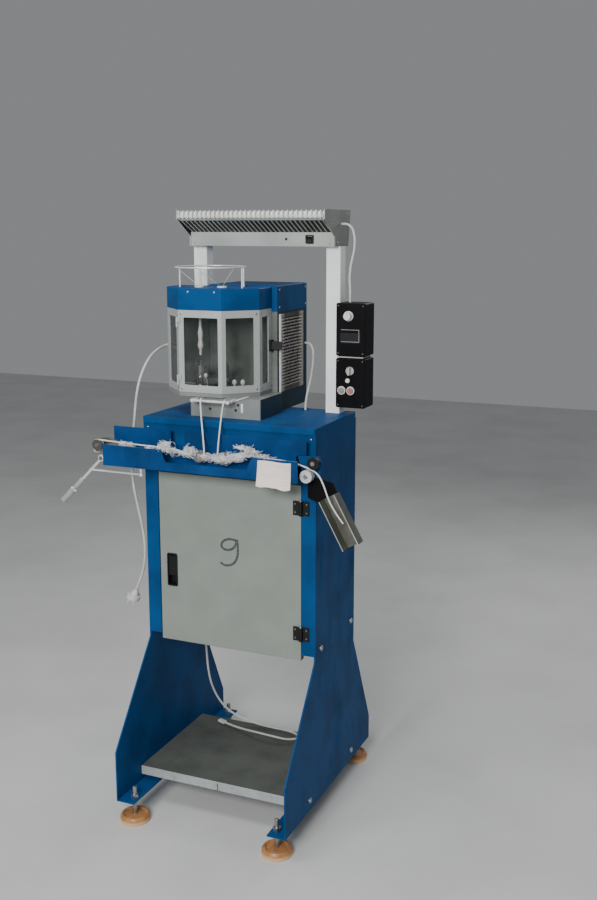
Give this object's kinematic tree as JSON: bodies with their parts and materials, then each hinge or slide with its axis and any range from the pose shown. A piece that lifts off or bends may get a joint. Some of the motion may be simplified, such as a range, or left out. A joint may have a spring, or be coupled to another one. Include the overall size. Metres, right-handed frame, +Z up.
{
  "type": "cord knitting machine",
  "caption": "Cord knitting machine on a sheet metal stand, with a glazed knitting head, a yarn stop motion, control boxes, a take-down tray and a side chute.",
  "frame": {"origin": "on the floor, in the middle between the four levelling feet", "axes": "+Z up, +X to the operator's right along the table, -Y towards the operator"},
  "size_m": [0.8607, 0.6348, 1.598],
  "materials": {
    "blue_paint": "smooth",
    "grey_paint": "satin",
    "dark_grey_paint": "satin",
    "black_paint": "satin",
    "white_paint": "satin",
    "steel": "satin",
    "bright_steel": "bright",
    "anodised_aluminium": "matte",
    "black_plastic": "matte",
    "tan_plastic": "matte",
    "white_plastic": "gloss",
    "green_plastic": "gloss",
    "red_plastic": "gloss",
    "olive_paint": "satin",
    "cast_block": "matte",
    "dark_glazing": "clear",
    "black_rubber": "matte",
    "white_cord": "knitted",
    "white_cable": "matte",
    "note_paper": "paper",
    "motor_paint": "matte"
  },
  "bodies": {
    "stand": {"axles_and_rods": "bright_steel", "cabinet_sheets": "blue_paint", "cam_housing": "cast_block", "cap": "blue_paint", "chute": "olive_paint", "control_boxes": "black_paint", "control_gear": "grey_paint", "drive_belt": "black_rubber", "drive_motor": "motor_paint", "fixed_cables": "white_cable", "foot_pads": "tan_plastic", "frame_fasteners": "steel", "front_apron": "blue_paint", "gantry_posts": "white_paint", "guard_frame": "anodised_aluminium", "guard_frame_panes": "dark_glazing", "head_block": "cast_block", "hinge_frame_leaves": "black_plastic", "housing_lid": "blue_paint", "housing_shell": "blue_paint", "lead_connector": "white_plastic", "left_knit_cord": "white_cord", "left_side_plate": "blue_paint", "louvre_panel": "white_plastic", "lower_lead": "white_cable", "mains_lead": "white_cable", "mains_plug": "white_cable", "panel_fittings": "black_plastic", "paper_note": "note_paper", "right_knit_cord": "white_cord", "right_side_plate": "blue_paint", "shelf": "dark_grey_paint", "stop_motion_trough": "white_paint", "table_top": "blue_paint", "take_down_tray": "blue_paint", "tray_brackets": "black_paint", "yarn_comb": "white_plastic", "yarn_guides": "bright_steel"},
    "front_door": {"front_door": "grey_paint", "hinge_door_leaves": "black_plastic", "door_handle_cup": "black_plastic"},
    "door_paddle": {"door_handle_paddle": "black_plastic"},
    "guard_door": {"guard_door": "anodised_aluminium", "guard_door_panes": "dark_glazing", "guard_latch": "black_plastic"},
    "left_cylinder": {"left_needle_cylinder": "steel"},
    "right_cylinder": {"right_needle_cylinder": "steel"},
    "drive_shaft": {"drive_shaft": "steel"},
    "motor_pulley": {"motor_pulley": "steel"},
    "left_guide_wheel": {"left_guide_wheel": "black_plastic"},
    "right_guide_wheel": {"right_guide_wheel": "black_plastic"},
    "left_end_pulley": {"left_end_pulley": "white_plastic"},
    "outlet_pulley": {"outlet_pulley": "black_plastic"},
    "take_off_roller": {"take_off_roller": "anodised_aluminium"},
    "dancer_arm": {"dancer_arm": "bright_steel"},
    "speed_knob": {"speed_knob": "white_plastic"},
    "selector_switch": {"selector_switch": "black_plastic"},
    "start_button": {"start_button": "green_plastic"},
    "stop_button": {"stop_button": "red_plastic"},
    "rocker_switch": {"rocker_switch": "black_plastic"}
  },
  "joints": [
    {"name": "front_door_hinge", "type": "hinge", "parent": "stand", "child": "front_door", "pos_m": [0.206, -0.1215, 0.689], "axis": [0, 0, 1], "range_deg": [0, 95]},
    {"name": "door_paddle_pivot", "type": "hinge", "parent": "front_door", "child": "door_paddle", "pos_m": [-0.1685, -0.1145, 0.6915], "axis": [-1, 0, 0], "range_deg": [0, 35], "stiffness_Nm_per_rad": 0.05, "springref_deg": -17.19},
    {"name": "guard_door_hinge", "type": "hinge", "parent": "stand", "child": "guard_door", "pos_m": [-0.162, -0.0755, 1.238], "axis": [0, 0, -1], "range_deg": [0, 100]},
    {"name": "right_cylinder_spin", "type": "hinge", "parent": "stand", "child": "right_cylinder", "pos_m": [-0.064, -0.008, 1.16], "axis": [0, 0, 1], "continuous": true},
    {"name": "left_cylinder_spin", "type": "hinge", "parent": "stand", "child": "left_cylinder", "pos_m": [-0.13, -0.008, 1.16], "axis": [0, 0, 1], "continuous": true},
    {"name": "drive_shaft_spin", "type": "hinge", "parent": "stand", "child": "drive_shaft", "pos_m": [-0.064, 0.03737, 1.11], "axis": [0, 0, 1], "continuous": true},
    {"name": "motor_pulley_spin", "type": "hinge", "parent": "stand", "child": "motor_pulley", "pos_m": [-0.064, 0.186, 1.11], "axis": [0, 0, 1], "continuous": true},
    {"name": "left_guide_wheel_spin", "type": "hinge", "parent": "stand", "child": "left_guide_wheel", "pos_m": [-0.0534, -0.168, 0.985], "axis": [0, 1, 0], "continuous": true},
    {"name": "right_guide_wheel_spin", "type": "hinge", "parent": "stand", "child": "right_guide_wheel", "pos_m": [0.0134, -0.168, 0.985], "axis": [0, 1, 0], "continuous": true},
    {"name": "left_end_pulley_spin", "type": "hinge", "parent": "stand", "child": "left_end_pulley", "pos_m": [-0.355, -0.168, 0.991], "axis": [0, 1, 0], "continuous": true},
    {"name": "outlet_pulley_spin", "type": "hinge", "parent": "stand", "child": "outlet_pulley", "pos_m": [0.26, -0.168, 0.993], "axis": [0, 1, 0], "continuous": true},
    {"name": "take_off_roller_spin", "type": "hinge", "parent": "stand", "child": "take_off_roller", "pos_m": [0.243, -0.168, 0.96], "axis": [0, 1, 0], "continuous": true},
    {"name": "dancer_arm_pivot", "type": "hinge", "parent": "stand", "child": "dancer_arm", "pos_m": [-0.344, -0.168, 0.957], "axis": [0, 1, 0], "range_deg": [-20, 20]},
    {"name": "speed_knob_turn", "type": "hinge", "parent": "stand", "child": "speed_knob", "pos_m": [0.25, 0.092, 1.329], "axis": [0, 1, 0], "range_deg": [0, 270]},
    {"name": "selector_turn", "type": "hinge", "parent": "stand", "child": "selector_switch", "pos_m": [0.255, 0.092, 1.187], "axis": [0, 1, 0], "range_deg": [-45, 45]},
    {"name": "start_button_press", "type": "slide", "parent": "stand", "child": "start_button", "axis": [0, 1, 0], "range_m": [0, 0.004], "stiffness_N_per_m": 300, "springref_m": -0.002},
    {"name": "stop_button_press", "type": "slide", "parent": "stand", "child": "stop_button", "axis": [0, 1, 0], "range_m": [0, 0.004], "stiffness_N_per_m": 300, "springref_m": -0.002},
    {"name": "rocker_switch_tilt", "type": "hinge", "parent": "stand", "child": "rocker_switch", "pos_m": [0.14, 0.09, 1.523], "axis": [-1, 0, 0], "range_deg": [0, 16]}
  ],
  "couplings": [
    {"joint": "left_cylinder_spin", "follows": "right_cylinder_spin", "ratio": -1},
    {"joint": "drive_shaft_spin", "follows": "right_cylinder_spin", "ratio": -2.6667},
    {"joint": "motor_pulley_spin", "follows": "right_cylinder_spin", "ratio": -2.6667}
  ]
}
